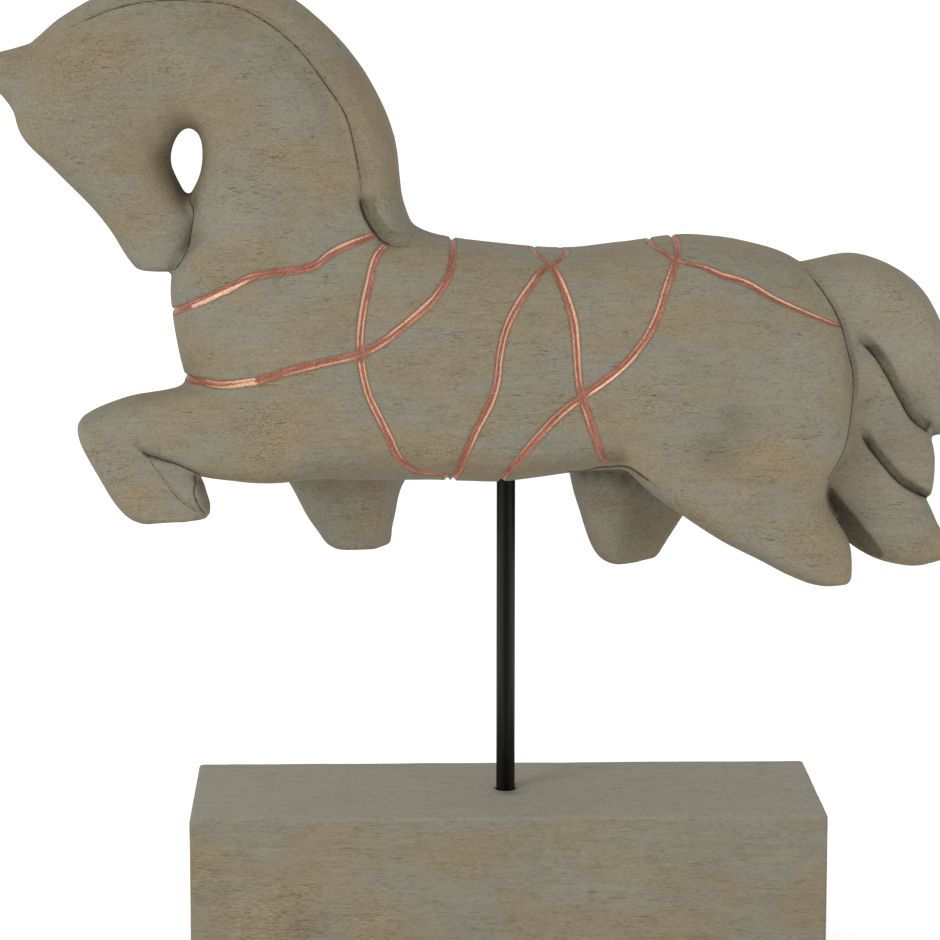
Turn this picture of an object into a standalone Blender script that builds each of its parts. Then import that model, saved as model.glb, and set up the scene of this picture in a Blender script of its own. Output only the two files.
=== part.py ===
"""A carved wooden horse at full gallop, held over a wooden block by a steel rod.

The horse is one piece of wood. It faces -X, its near side is -Y, and +Z is up.
The origin is the middle of the block's underside, and the rod stands on the Z axis.
"""
import math

import bmesh
import bpy
import numpy as np

# Driving sizes, in metres.
BLOCK_LENGTH = 0.268
BLOCK_DEPTH = 0.094
BLOCK_HEIGHT = 0.070
BLOCK_EDGE = 0.0015
ROD_DIAMETER = 0.008
ROD_SHOWING = 0.1368
ROD_IN_BLOCK = 0.030
ROD_IN_HORSE = 0.025
SOCKET_CLEARANCE = 0.0003
HORSE_LENGTH = 0.414
HORSE_THICKNESS = 0.086

# The carving is drawn in shares: 414 of them to the horse's length, from the rod's axis
# and from a level just under the belly. Across the horse, 1 is half its thickness.
SHARE = HORSE_LENGTH / 414
ACROSS = HORSE_THICKNESS / 2
BELLY_AT_ROD = 1.5

# A rib is a cut across a limb: one edge x, z, the other edge x, z, the middle across
# the horse, and the half width at each edge.
TRUNK_TO_MUZZLE = [
    (143, 32, 142, 64, 0.0, 0.80, 0.66),
    (138, 15, 137, 80, 0.0, 0.95, 0.80),
    (124, 6, 123, 93.5, 0.0, 0.99, 0.86),
    (100, 6, 100, 101, 0.0, 1.00, 0.94),
    (75, 6, 76, 103.5, 0.0, 1.00, 0.95),
    (50, 6.5, 50, 100.5, 0.0, 0.95, 0.93),
    (26, 5, 25, 98, 0.0, 0.91, 0.90),
    (0, BELLY_AT_ROD, 0, 99.8, 0.0, 0.92, 0.91),
    (-28, 2, -26, 103, 0.0, 0.95, 0.93),
    (-62, 2.5, -38, 107.5, 0.0, 0.98, 0.90),
    (-98, 6, -41, 112, 0.0, 1.00, 0.80),
    (-124, 22, -44, 121, 0.0, 0.98, 0.70),
    (-135, 46, -47, 134, 0.0, 0.93, 0.62),
    (-140, 70, -52, 149, 0.0, 0.86, 0.57),
    (-140, 92, -59, 162, 0.0, 0.80, 0.54),
    (-132, 116, -69, 174, 0.0, 0.75, 0.52),
    (-126.5, 134, -84, 187, 0.0, 0.71, 0.50),
    (-127.5, 146, -104, 199, 0.0, 0.69, 0.49),
    (-132.5, 150.5, -130, 206, 0.0, 0.68, 0.49),
    (-138, 148, -158, 204, 0.0, 0.68, 0.50),
    (-141, 141, -184, 191, 0.0, 0.69, 0.52),
    (-140.5, 134, -200, 173, 0.0, 0.69, 0.53),
    (-137, 127, -204, 150.5, 0.0, 0.68, 0.53),
    (-133, 120, -190.5, 135, 0.0, 0.65, 0.52),
    (-131, 111, -176, 120, 0.0, 0.61, 0.50),
    (-133, 102, -165, 106.5, 0.0, 0.56, 0.48),
    (-137, 94.5, -158.5, 95, 0.0, 0.51, 0.46),
    (-141, 90.5, -153.5, 89.5, 0.0, 0.46, 0.42),
]
FORELOCK = [
    (-180, 150, -176, 193, 0.0, 0.52, 0.32),
    (-198, 148, -193, 187, 0.0, 0.46, 0.28),
    (-208, 160.5, -205, 183, 0.0, 0.36, 0.24),
    (-217, 170, -215, 180.5, 0.0, 0.24, 0.18),
    (-222.5, 174, -221.5, 178.5, 0.0, 0.14, 0.12),
]
NEAR_UPPER_ARM = [
    (-78, 5, -84, 59, -0.44, 0.36, 0.34),
    (-98, 3, -106, 54, -0.49, 0.43, 0.41),
    (-116, 5, -124, 48, -0.52, 0.45, 0.43),
    (-130, 7, -141, 42, -0.52, 0.45, 0.41),
    (-145, 9.5, -157, 39.5, -0.52, 0.43, 0.39),
    (-157, 11, -170, 35, -0.52, 0.41, 0.37),
    (-168, 15, -179, 30, -0.52, 0.39, 0.35),
]
NEAR_LOWER_LEG = [
    (-179.5, 28, -157, 26, -0.52, 0.37, 0.39),
    (-178, 21, -146, 18, -0.52, 0.39, 0.41),
    (-172, 9, -133, 9, -0.52, 0.40, 0.42),
    (-164.5, -4, -125, 3, -0.52, 0.39, 0.41),
    (-157.5, -12, -124.5, -7.5, -0.52, 0.36, 0.38),
    (-152, -13.5, -128, -10.5, -0.52, 0.33, 0.35),
]
FAR_FORELEG = [
    (-112, 30, -32, 26, 0.46, 0.40, 0.40),
    (-97, 8, -36, 6, 0.50, 0.44, 0.44),
    (-88, -9, -44, -8, 0.50, 0.43, 0.43),
    (-82, -22, -48, -21, 0.50, 0.39, 0.39),
    (-75.5, -31, -50, -30, 0.50, 0.35, 0.35),
    (-71, -33, -53, -32, 0.50, 0.32, 0.32),
]
NEAR_HIND_LEG = [
    (34, 44, 100, 92, -0.42, 0.30, 0.22),
    (42, 18, 132, 68, -0.48, 0.42, 0.36),
    (57, 1, 145, 43, -0.51, 0.48, 0.38),
    (73, -11, 142.5, 20, -0.51, 0.49, 0.44),
    (90, -21.5, 133.5, 2, -0.50, 0.47, 0.40),
    (106, -31, 133.5, -10, -0.50, 0.43, 0.36),
    (121, -38.5, 140, -20, -0.50, 0.39, 0.33),
    (132.5, -41.5, 144.5, -31, -0.50, 0.34, 0.30),
    (138, -41.5, 145, -37, -0.50, 0.30, 0.27),
]
FAR_HIND_LEG = [
    (22, 34, 106, 30, 0.44, 0.38, 0.38),
    (26, 10, 96, 8, 0.50, 0.44, 0.44),
    (30, -8, 87, -8, 0.50, 0.45, 0.45),
    (34.5, -21, 78, -20, 0.50, 0.41, 0.41),
    (38.5, -33, 70.5, -29, 0.50, 0.37, 0.37),
    (45, -38, 64, -37, 0.50, 0.34, 0.34),
    (49, -40, 60, -39, 0.50, 0.31, 0.31),
]
MANE = [
    (-193, 181, -197.2, 187, 0.0, 0.22, 0.16),
    (-178, 188, -183.2, 197.3, 0.0, 0.42, 0.28),
    (-155, 193, -159, 209.5, 0.0, 0.48, 0.36),
    (-128, 195, -130, 218, 0.0, 0.50, 0.40),
    (-104, 189, -97.5, 208, 0.0, 0.52, 0.42),
    (-86, 174, -74.5, 191.5, 0.0, 0.55, 0.44),
    (-74, 156, -57, 169.5, 0.0, 0.58, 0.46),
    (-68, 136, -47.3, 145, 0.0, 0.63, 0.50),
    (-63, 118, -44.5, 119, 0.0, 0.68, 0.54),
    (-53, 104, -38.5, 106.5, 0.0, 0.68, 0.54),
    (-40, 97, -22, 102, 0.0, 0.54, 0.42),
]
TAIL_UPPER_LOCK = [
    (112, 46, 108, 88, 0.0, 0.76, 0.68),
    (130, 50, 128, 92, 0.0, 0.76, 0.68),
    (146, 56, 149, 95.3, 0.0, 0.68, 0.64),
    (156, 49, 171.5, 85, 0.0, 0.60, 0.62),
    (165, 39, 185, 65.5, 0.0, 0.53, 0.56),
    (173, 29, 190, 46, 0.0, 0.45, 0.48),
    (178.5, 22, 189, 31, 0.0, 0.38, 0.39),
    (182, 18, 186.5, 22, 0.0, 0.32, 0.32),
]
TAIL_MIDDLE_LOCK = [
    (122, 18, 122, 66, 0.0, 0.66, 0.70),
    (140, 20, 143, 64, 0.0, 0.66, 0.70),
    (152, 15, 160, 55, 0.0, 0.58, 0.66),
    (162, 4, 173, 36, 0.0, 0.50, 0.59),
    (170.5, -3, 180, 18, 0.0, 0.43, 0.50),
    (176, -7, 182, 5, 0.0, 0.37, 0.41),
    (178.5, -9, 181.5, -4, 0.0, 0.32, 0.34),
]
TAIL_LOWER_LOCK = [
    (112, 0, 124, 30, 0.05, 0.46, 0.64),
    (131, -12, 146, 29, 0.05, 0.44, 0.64),
    (144, -26, 159, 16, 0.04, 0.41, 0.61),
    (155, -33, 169, 3, 0.03, 0.39, 0.56),
    (166, -36.5, 178, -7, 0.02, 0.37, 0.49),
    (176, -37, 184, -19, 0.01, 0.35, 0.41),
    (184.5, -34.5, 189, -27, 0.0, 0.31, 0.34),
]

# Each limb's ribs and how square its cuts are: 2 is an oval, more is squarer.
SOFT_LIMBS = [
    (TRUNK_TO_MUZZLE, 3.6),
    (FORELOCK, 2.2),
    (NEAR_UPPER_ARM, 3.8),
    (NEAR_LOWER_LEG, 4.5),
    (FAR_FORELEG, 4.0),
    (NEAR_HIND_LEG, 4.0),
    (FAR_HIND_LEG, 4.0),
]
CRISP_LIMBS = [
    (MANE, 2.6),
    (TAIL_UPPER_LOCK, 4.0),
    (TAIL_MIDDLE_LOCK, 4.0),
    (TAIL_LOWER_LOCK, 4.0),
]

# Grooves wound round the body like string, seen from the side: x, z along each. Both
# sides carry them, so they meet over the back and under the belly.
STRING_HALF_WIDTH = 2.3
STRING_DEPTH = 1.8
STRING_GROOVES = [
    [(-142, 75), (-130, 79), (-112, 88), (-98, 92), (-81, 95), (-66, 104), (-55, 109)],
    [(-139, 49), (-126, 47), (-105, 48), (-79, 55), (-60, 60), (-44, 71), (-30, 83), (-24, 94), (-20, 106)],
    [(-50, 105), (-57, 92), (-61, 75), (-61, 55), (-55, 35), (-45, 14), (-36, 6), (-22, 1)],
    [(28, 103), (23, 98), (13, 92), (4, 79), (-4, 59), (-5, 47), (-13, 28), (-21, 9), (-24, -2)],
    [(13, 103), (18, 94), (23, 85), (27, 68), (30, 41), (35, 27), (40, 13), (43, 2)],
    [(71, 108), (69, 97), (64, 85), (56, 66), (47, 54), (30, 41), (12, 24), (2, 11), (-4, -1)],
    [(58, 106), (66, 99), (75, 96), (87, 91), (109, 82), (139, 69)],
]

# Creases between the forms: the line, its half width, its depth, and the side that
# carries it, -1 near and 0 both.
CREASES = [
    ([(-190, 187), (-176, 194), (-161, 200), (-145, 203), (-129, 203), (-113, 201), (-99, 194), (-86, 183),
      (-76, 170), (-67, 156), (-63, 140), (-60, 124), (-56, 113), (-47, 102), (-37, 102)], 2.6, 1.6, 0),
    ([(-133, 122), (-131, 115), (-132, 105), (-137, 95), (-141, 91)], 2.6, 1.6, 0),
    ([(124, 94), (130, 85), (139, 69), (144, 50), (144, 32), (141, 17), (134, 0)], 2.6, 1.6, 0),
    ([(-155, 21), (-147, 18), (-137, 13), (-129, 8)], 3.0, 2.5, -1),
    ([(144, 65), (149, 62), (156, 56), (162, 46), (168, 36), (180, 20)], 2.6, 2.0, 0),
    ([(146, 27), (153, 17), (161, 7), (168, 0), (179, -8)], 2.6, 2.0, 0),
]

# Places where a limb melts into the body: x, z and reach.
MELTING_JOINTS = [(-92, 34, 40), (100, 52, 58)]

# How finely the skin is made and smoothed, and how many triangles are kept.
RING_CORNERS = 48
STEPS_BETWEEN_RIBS = 5
STEPS_BETWEEN_POINTS = 4
SKIN_STEP = HORSE_LENGTH / 260
SOFT_ROUNDS = 16
CRISP_ROUNDS = 3
MELTING_ROUNDS = 70
HORSE_TRIANGLES = 9000
ROUND_SIDES = 48

WOOD = (0.25, 0.235, 0.175)
BLACK_STEEL = (0.010, 0.010, 0.009)


def clear_scene():
    for thing in list(bpy.data.objects):
        bpy.data.objects.remove(thing, do_unlink=True)


def collection(name):
    made = bpy.data.collections.new(name)
    bpy.context.scene.collection.children.link(made)
    return made


def move_to(thing, group):
    for old in list(thing.users_collection):
        old.objects.unlink(thing)
    group.objects.link(thing)


def material(name, colour, roughness, metallic):
    made = bpy.data.materials.new(name)
    made.use_nodes = True
    shader = made.node_tree.nodes["Principled BSDF"]
    shader.inputs["Base Color"].default_value = (*colour, 1.0)
    shader.inputs["Roughness"].default_value = roughness
    shader.inputs["Metallic"].default_value = metallic
    return made


def smooth_through(knots, steps, seen):
    """Return a smooth curve through the knots, spaced by their first few numbers."""
    knots = np.array(knots, float)
    gaps = np.sqrt(np.linalg.norm(np.diff(knots[:, :seen], axis=0), axis=1))
    slopes = np.gradient(knots, np.concatenate([[0.0], np.cumsum(gaps)]), axis=0)
    points = []
    for i, gap in enumerate(gaps):
        for t in np.arange(steps) / steps:
            leave = (2 * t ** 3 - 3 * t ** 2 + 1) * knots[i] + (t ** 3 - 2 * t ** 2 + t) * gap * slopes[i]
            reach = (3 * t ** 2 - 2 * t ** 3) * knots[i + 1] + (t ** 3 - t ** 2) * gap * slopes[i + 1]
            points.append(leave + reach)
    points.append(knots[-1])
    return np.array(points)


def signed_power(value, power):
    return math.copysign(abs(value) ** power, value)


def ring(rib, squareness):
    """Return the corners of one cut across a limb."""
    ax, az, bx, bz, middle, half_a, half_b = rib
    corners = []
    for i in range(RING_CORNERS):
        angle = 2 * math.pi * i / RING_CORNERS
        share = (1 + signed_power(math.cos(angle), 2 / squareness)) / 2
        half = half_a + (half_b - half_a) * share
        y = middle + signed_power(math.sin(angle), 2 / squareness) * half
        corners.append(((ax + (bx - ax) * share) * SHARE, y * ACROSS, (az + (bz - az) * share) * SHARE))
    return corners


def add_limb(mesh, ribs, squareness):
    """Add one limb to a bmesh as a closed loft through its ribs."""
    rings = []
    for rib in smooth_through(ribs, STEPS_BETWEEN_RIBS, seen=4):
        rings.append([mesh.verts.new(corner) for corner in ring(rib, squareness)])
    faces = [mesh.faces.new(rings[0]), mesh.faces.new(rings[-1])]
    for one, two in zip(rings, rings[1:]):
        for i in range(RING_CORNERS):
            j = (i + 1) % RING_CORNERS
            faces.append(mesh.faces.new((one[i], one[j], two[j], two[i])))
    bmesh.ops.recalc_face_normals(mesh, faces=faces)


def add_limbs(thing, limbs):
    mesh = bmesh.new()
    mesh.from_mesh(thing.data)
    for ribs, squareness in limbs:
        add_limb(mesh, ribs, squareness)
    mesh.to_mesh(thing.data)
    mesh.free()


def keep_modifiers(thing):
    """Make the modified shape the object's own mesh."""
    graph = bpy.context.evaluated_depsgraph_get()
    graph.update()
    thing.data = bpy.data.meshes.new_from_object(thing.evaluated_get(graph))
    thing.modifiers.clear()


def smooth(thing, rounds, group=""):
    modifier = thing.modifiers.new("Smooth", "SMOOTH")
    modifier.factor = 0.5
    modifier.iterations = rounds
    modifier.vertex_group = group


def fuse(thing, rounds):
    """Make the limbs in an object one skin and soften the corners between them."""
    remesh = thing.modifiers.new("One skin", "REMESH")
    remesh.mode = "VOXEL"
    remesh.voxel_size = SKIN_STEP
    smooth(thing, rounds)
    keep_modifiers(thing)


def melt_joints(thing):
    """Smooth the skin where a limb grows out of the body, and nowhere else."""
    melting = thing.vertex_groups.new(name="melting joints")
    for corner in thing.data.vertices:
        x = corner.co.x / SHARE
        z = corner.co.z / SHARE
        weight = max(2 - 2 * math.hypot(x - px, z - pz) / reach for px, pz, reach in MELTING_JOINTS)
        if weight > 0:
            melting.add([corner.index], min(1.0, weight), "REPLACE")
    smooth(thing, MELTING_ROUNDS, melting.name)
    keep_modifiers(thing)
    thing.vertex_groups.clear()


def distance_to_line(points, line):
    """Return each point's distance to a smooth line, both seen from the side."""
    curve = smooth_through(line, STEPS_BETWEEN_POINTS, seen=2)
    best = np.full(len(points), np.inf)
    for start, end in zip(curve, curve[1:]):
        run = end - start
        share = np.clip((points - start) @ run / (run @ run), 0, 1)
        best = np.minimum(best, np.linalg.norm(points - start - share[:, None] * run, axis=1))
    return best


def corners_of(mesh):
    places = np.empty(len(mesh.vertices) * 3)
    mesh.vertices.foreach_get("co", places)
    return places.reshape(-1, 3)


def place_corners(mesh, places):
    mesh.vertices.foreach_set("co", places.ravel())
    mesh.update()


def wind_string(mesh):
    """Press the string's V grooves into the skin, square to it."""
    for line in STRING_GROOVES:
        places = corners_of(mesh)
        normals = np.empty(places.size)
        mesh.vertex_normals.foreach_get("vector", normals)
        away = distance_to_line(places[:, [0, 2]] / SHARE, line)
        press = STRING_DEPTH * SHARE * np.clip(1 - away / STRING_HALF_WIDTH, 0, 1)
        place_corners(mesh, places - normals.reshape(-1, 3) * press[:, None])


def cut_creases(mesh):
    """Cut the V creases between the forms, straight across the horse."""
    places = corners_of(mesh)
    for line, half_width, depth, side in CREASES:
        away = distance_to_line(places[:, [0, 2]] / SHARE, line)
        press = depth * SHARE * np.clip(1 - away / half_width, 0, 1)
        press[places[:, 1] * side < 0] = 0
        places[:, 1] -= np.sign(places[:, 1]) * press
    place_corners(mesh, places)


def drill(cutters, name, bottom, top):
    """Return a cutter for a round socket on the rod's axis."""
    bpy.ops.mesh.primitive_cylinder_add(
        vertices=ROUND_SIDES, radius=ROD_DIAMETER / 2 + SOCKET_CLEARANCE, depth=top - bottom,
        location=(0, 0, (top + bottom) / 2))
    cutter = bpy.context.object
    cutter.name = name
    move_to(cutter, cutters)
    cutter.display_type = "WIRE"
    cutter.hide_render = True
    return cutter


def cut(thing, cutter):
    boolean = thing.modifiers.new("Socket", "BOOLEAN")
    boolean.operation = "DIFFERENCE"
    boolean.solver = "EXACT"
    boolean.object = cutter


def make_horse(parts, cutters, wood):
    horse = bpy.data.objects.new("horse", bpy.data.meshes.new("horse"))
    parts.objects.link(horse)
    add_limbs(horse, SOFT_LIMBS)
    fuse(horse, SOFT_ROUNDS)
    melt_joints(horse)
    add_limbs(horse, CRISP_LIMBS)
    fuse(horse, CRISP_ROUNDS)
    wind_string(horse.data)
    cut_creases(horse.data)

    belly = BLOCK_HEIGHT + ROD_SHOWING
    horse.location.z = belly - BELLY_AT_ROD * SHARE
    horse.data.materials.clear()
    horse.data.materials.append(wood)
    horse.data.calc_loop_triangles()
    decimate = horse.modifiers.new("Fewer faces", "DECIMATE")
    decimate.ratio = min(1.0, HORSE_TRIANGLES / len(horse.data.loop_triangles))
    cut(horse, drill(cutters, "horse_socket", BLOCK_HEIGHT, belly + ROD_IN_HORSE + SOCKET_CLEARANCE))


def make_rod(parts, steel):
    bottom = BLOCK_HEIGHT - ROD_IN_BLOCK
    top = BLOCK_HEIGHT + ROD_SHOWING + ROD_IN_HORSE
    bpy.ops.mesh.primitive_cylinder_add(
        vertices=ROUND_SIDES, radius=ROD_DIAMETER / 2, depth=top - bottom,
        location=(0, 0, (top + bottom) / 2))
    rod = bpy.context.object
    rod.name = "rod"
    move_to(rod, parts)
    rod.data.materials.append(steel)
    rod.data.shade_smooth()
    rod.data.set_sharp_from_angle(angle=math.radians(40))


def make_block(parts, cutters, wood):
    bpy.ops.mesh.primitive_cube_add(size=1, location=(0, 0, BLOCK_HEIGHT / 2))
    block = bpy.context.object
    block.name = "base_block"
    block.scale = (BLOCK_LENGTH, BLOCK_DEPTH, BLOCK_HEIGHT)
    bpy.ops.object.transform_apply(location=False, rotation=False, scale=True)
    move_to(block, parts)
    block.data.materials.append(wood)
    bevel = block.modifiers.new("Eased edges", "BEVEL")
    bevel.width = BLOCK_EDGE
    bevel.segments = 2
    floor = BLOCK_HEIGHT - ROD_IN_BLOCK - SOCKET_CLEARANCE
    cut(block, drill(cutters, "block_socket", floor, BLOCK_HEIGHT + ROD_DIAMETER))


def main():
    clear_scene()
    parts = collection("horse sculpture")
    cutters = collection("cutters")
    wood = material("grey-washed wood", WOOD, 0.75, 0.0)
    steel = material("black steel", BLACK_STEEL, 0.4, 0.3)
    make_block(parts, cutters, wood)
    make_rod(parts, steel)
    make_horse(parts, cutters, wood)


main()
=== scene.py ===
"""The looks of a carved wooden horse, held over a washed wooden block by a black steel rod.

The horse faces -X and shows its near side to -Y. Its carving is drawn in millimetres from
the rod's axis and from a level just under the belly.
"""

import math

import bmesh
import bpy
import numpy as np
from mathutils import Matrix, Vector, noise
from mathutils.bvhtree import BVHTree
from mathutils.kdtree import KDTree

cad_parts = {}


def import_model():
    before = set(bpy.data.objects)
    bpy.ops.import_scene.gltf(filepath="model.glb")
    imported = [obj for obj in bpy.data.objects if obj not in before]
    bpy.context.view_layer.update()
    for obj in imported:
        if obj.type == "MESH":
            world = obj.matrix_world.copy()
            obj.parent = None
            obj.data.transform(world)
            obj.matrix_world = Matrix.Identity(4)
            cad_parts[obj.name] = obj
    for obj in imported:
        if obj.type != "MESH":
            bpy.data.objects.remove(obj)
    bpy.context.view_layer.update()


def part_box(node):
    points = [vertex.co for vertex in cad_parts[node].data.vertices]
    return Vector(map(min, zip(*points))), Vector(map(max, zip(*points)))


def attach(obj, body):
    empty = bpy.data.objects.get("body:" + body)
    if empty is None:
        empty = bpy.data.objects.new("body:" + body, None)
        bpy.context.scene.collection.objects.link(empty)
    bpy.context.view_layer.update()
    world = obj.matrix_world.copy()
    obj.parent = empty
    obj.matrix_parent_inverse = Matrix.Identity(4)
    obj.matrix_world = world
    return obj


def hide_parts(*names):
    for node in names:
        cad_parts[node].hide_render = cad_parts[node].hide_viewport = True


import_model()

MM = 0.001
HALF_THICKNESS = 43.0
ROD_IN_HORSE = 25.0
BELLY_AT_ROD = 1.5
BLOCK_LOW, BLOCK_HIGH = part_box("base_block")
ROD_LOW, ROD_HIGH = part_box("rod")
ROD_RADIUS = ROD_HIGH.x
SOCKET_RADIUS = ROD_RADIUS + 0.4 * MM
BELLY = ROD_HIGH.z - ROD_IN_HORSE * MM
LEVEL = BELLY - BELLY_AT_ROD * MM

# A rib is a cut across a limb: one edge x, z, the other edge x, z, the middle across the
# horse, and the half width at each edge. Across the horse, 1 is half its thickness.
TRUNK_TO_MUZZLE = [
    (143, 32, 142, 64, 0.0, 0.80, 0.66),
    (138, 15, 137, 80, 0.0, 0.95, 0.80),
    (124, 6, 123, 93.5, 0.0, 0.99, 0.86),
    (100, 6, 100, 101, 0.0, 1.00, 0.94),
    (75, 6, 76, 103.5, 0.0, 1.00, 0.95),
    (50, 6.5, 50, 100.5, 0.0, 0.95, 0.93),
    (26, 5, 25, 98, 0.0, 0.91, 0.90),
    (0, BELLY_AT_ROD, 0, 99.8, 0.0, 0.92, 0.91),
    (-28, 2, -26, 103, 0.0, 0.95, 0.93),
    (-62, 2.5, -38, 107.5, 0.0, 0.98, 0.90),
    (-98, 6, -41, 112, 0.0, 1.00, 0.80),
    (-124, 22, -44, 121, 0.0, 0.98, 0.70),
    (-135, 46, -47, 134, 0.0, 0.93, 0.62),
    (-140, 70, -52, 149, 0.0, 0.86, 0.57),
    (-139.8, 90.5, -58.5, 161, 0.0, 0.80, 0.54),
    (-131.0, 103, -62, 166, 0.0, 0.77, 0.53),
    (-132.8, 118.8, -70, 175, 0.0, 0.74, 0.52),
    (-127.8, 132, -84, 187, 0.0, 0.71, 0.50),
    (-127.5, 146, -104, 199, 0.0, 0.69, 0.49),
    (-132.5, 150.5, -130, 206, 0.0, 0.68, 0.49),
    (-137, 147.2, -158, 204, 0.0, 0.68, 0.50),
    (-139.8, 141, -184, 191, 0.0, 0.69, 0.52),
    (-140.5, 134, -200, 173, 0.0, 0.69, 0.53),
    (-138, 127.5, -204, 150.5, 0.0, 0.68, 0.53),
    (-134.0, 119.8, -190.5, 135, 0.0, 0.65, 0.52),
    (-128.6, 112.5, -176, 120, 0.0, 0.62, 0.50),
    (-130.6, 103.2, -165, 106.5, 0.0, 0.59, 0.48),
    (-135.2, 96.2, -159.2, 97.2, 0.0, 0.57, 0.47),
    (-138.8, 91.2, -155.0, 91.6, 0.0, 0.55, 0.46),
]
FORELOCK = [
    (-180, 150, -176, 193, 0.0, 0.52, 0.32),
    (-199, 147, -193, 187, 0.0, 0.46, 0.28),
    (-207.7, 160.5, -205, 183, 0.0, 0.36, 0.24),
    (-217, 170, -215, 180.5, 0.0, 0.24, 0.18),
    (-222.5, 174, -221.5, 178.5, 0.0, 0.14, 0.12),
]
NEAR_UPPER_ARM = [
    (-78, 5, -84, 59, -0.44, 0.36, 0.34),
    (-98, 3, -106, 54, -0.49, 0.43, 0.41),
    (-116, 5, -124, 48, -0.52, 0.45, 0.43),
    (-130, 8, -141, 42, -0.52, 0.45, 0.41),
    (-145, 15.5, -157, 39.5, -0.52, 0.43, 0.39),
    (-156, 20.5, -170, 35, -0.52, 0.41, 0.37),
    (-167, 22, -179, 30, -0.52, 0.39, 0.35),
]
NEAR_LOWER_LEG = [
    (-179.5, 28, -157, 26, -0.52, 0.37, 0.39),
    (-178, 21, -146, 18, -0.52, 0.39, 0.41),
    (-172, 9, -133, 9, -0.52, 0.40, 0.42),
    (-165.8, -1.8, -127.8, 3.2, -0.52, 0.40, 0.41),
    (-161.2, -7.7, -125.8, -3, -0.52, 0.39, 0.40),
    (-157, -11.2, -124.5, -7.4, -0.52, 0.38, 0.39),
    (-153, -12.5, -124.9, -10.2, -0.52, 0.37, 0.38),
]
FAR_FORELEG = [
    (-112, 30, -32, 26, 0.46, 0.40, 0.40),
    (-99, 7, -36, 6, 0.50, 0.44, 0.44),
    (-91.1, -6.5, -44.3, -6, 0.50, 0.43, 0.43),
    (-85.8, -17.2, -46.8, -17, 0.50, 0.41, 0.41),
    (-80.4, -25.2, -48.4, -24.6, 0.50, 0.39, 0.39),
    (-77, -30, -48.6, -28.6, 0.50, 0.38, 0.38),
    (-72.3, -32.4, -49.3, -31, 0.50, 0.37, 0.37),
]
NEAR_HIND_LEG = [
    (34, 44, 100, 92, -0.42, 0.30, 0.22),
    (42, 18, 132, 68, -0.48, 0.42, 0.36),
    (57, 1, 145, 43, -0.51, 0.48, 0.38),
    (73, -11, 142.5, 20, -0.51, 0.49, 0.44),
    (89.6, -21.8, 133.8, 3, -0.50, 0.47, 0.40),
    (104.4, -29.6, 134.2, -7, -0.50, 0.43, 0.37),
    (116.4, -36, 138.8, -14.5, -0.50, 0.40, 0.35),
    (126.4, -40.2, 143.4, -23, -0.50, 0.37, 0.33),
    (133.4, -41.2, 144.5, -31, -0.50, 0.35, 0.32),
    (139.4, -40.3, 144.2, -36.8, -0.50, 0.34, 0.31),
    (142.4, -39.6, 144.2, -39.0, -0.50, 0.33, 0.31),
]
FAR_HIND_LEG = [
    (22, 34, 106, 30, 0.44, 0.38, 0.38),
    (26, 10, 97, 8, 0.50, 0.44, 0.44),
    (29.8, -8, 86.4, -7.6, 0.50, 0.44, 0.44),
    (32.6, -17.2, 79.8, -16.6, 0.50, 0.43, 0.43),
    (35.4, -26.6, 73.8, -25.6, 0.50, 0.41, 0.41),
    (38.6, -34, 69.6, -31.8, 0.50, 0.39, 0.39),
    (42.2, -37.8, 67, -35.8, 0.50, 0.37, 0.37),
    (46.2, -39.4, 65.2, -38, 0.50, 0.36, 0.36),
]
MANE = [
    (-193, 181, -196.8, 186.2, 0.0, 0.22, 0.16),
    (-178, 188, -182.9, 197.0, 0.0, 0.42, 0.28),
    (-155, 193, -159, 209.5, 0.0, 0.48, 0.36),
    (-128, 195, -130, 218, 0.0, 0.50, 0.40),
    (-104, 189, -97.5, 208, 0.0, 0.52, 0.42),
    (-86, 174, -74.5, 191.5, 0.0, 0.55, 0.44),
    (-74, 156, -57, 169.5, 0.0, 0.58, 0.46),
    (-68, 136, -46.6, 145, 0.0, 0.63, 0.50),
    (-63, 118, -43.4, 119, 0.0, 0.68, 0.54),
    (-53, 104, -38.5, 106.5, 0.0, 0.68, 0.54),
    (-40, 97, -22, 102.7, 0.0, 0.54, 0.42),
]
TAIL_UPPER_LOCK = [
    (112, 46, 108, 88, 0.0, 0.76, 0.68),
    (130, 50, 128, 92, 0.0, 0.76, 0.68),
    (146, 56, 149.4, 95.0, 0.0, 0.68, 0.64),
    (156, 49, 171.5, 85.2, 0.0, 0.60, 0.62),
    (165, 39, 184.2, 65.2, 0.0, 0.53, 0.56),
    (173, 29, 190, 46, 0.0, 0.45, 0.48),
    (178.5, 22, 189, 31, 0.0, 0.38, 0.39),
    (182, 19.3, 186.3, 22.8, 0.0, 0.32, 0.32),
]
TAIL_MIDDLE_LOCK = [
    (122, 18, 122, 66, 0.0, 0.66, 0.70),
    (140, 20, 143, 64, 0.0, 0.66, 0.70),
    (152, 15, 160, 55, 0.0, 0.58, 0.66),
    (162, 4, 173, 36, 0.0, 0.50, 0.59),
    (168.5, -2, 180.6, 15, 0.0, 0.43, 0.50),
    (173.2, -5.4, 181, 6, 0.0, 0.39, 0.44),
    (176.5, -6.6, 180, -4.4, 0.0, 0.36, 0.38),
]
TAIL_LOWER_LOCK = [
    (112, 0, 124, 30, 0.05, 0.46, 0.64),
    (131, -12, 146, 29, 0.05, 0.44, 0.64),
    (144, -26, 159, 16, 0.04, 0.41, 0.61),
    (155, -33, 169, 3, 0.03, 0.39, 0.56),
    (166, -36.5, 178, -7, 0.02, 0.37, 0.49),
    (176, -37, 184, -19, 0.01, 0.35, 0.41),
    (184.5, -34.5, 189, -27, 0.0, 0.31, 0.34),
]

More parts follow.
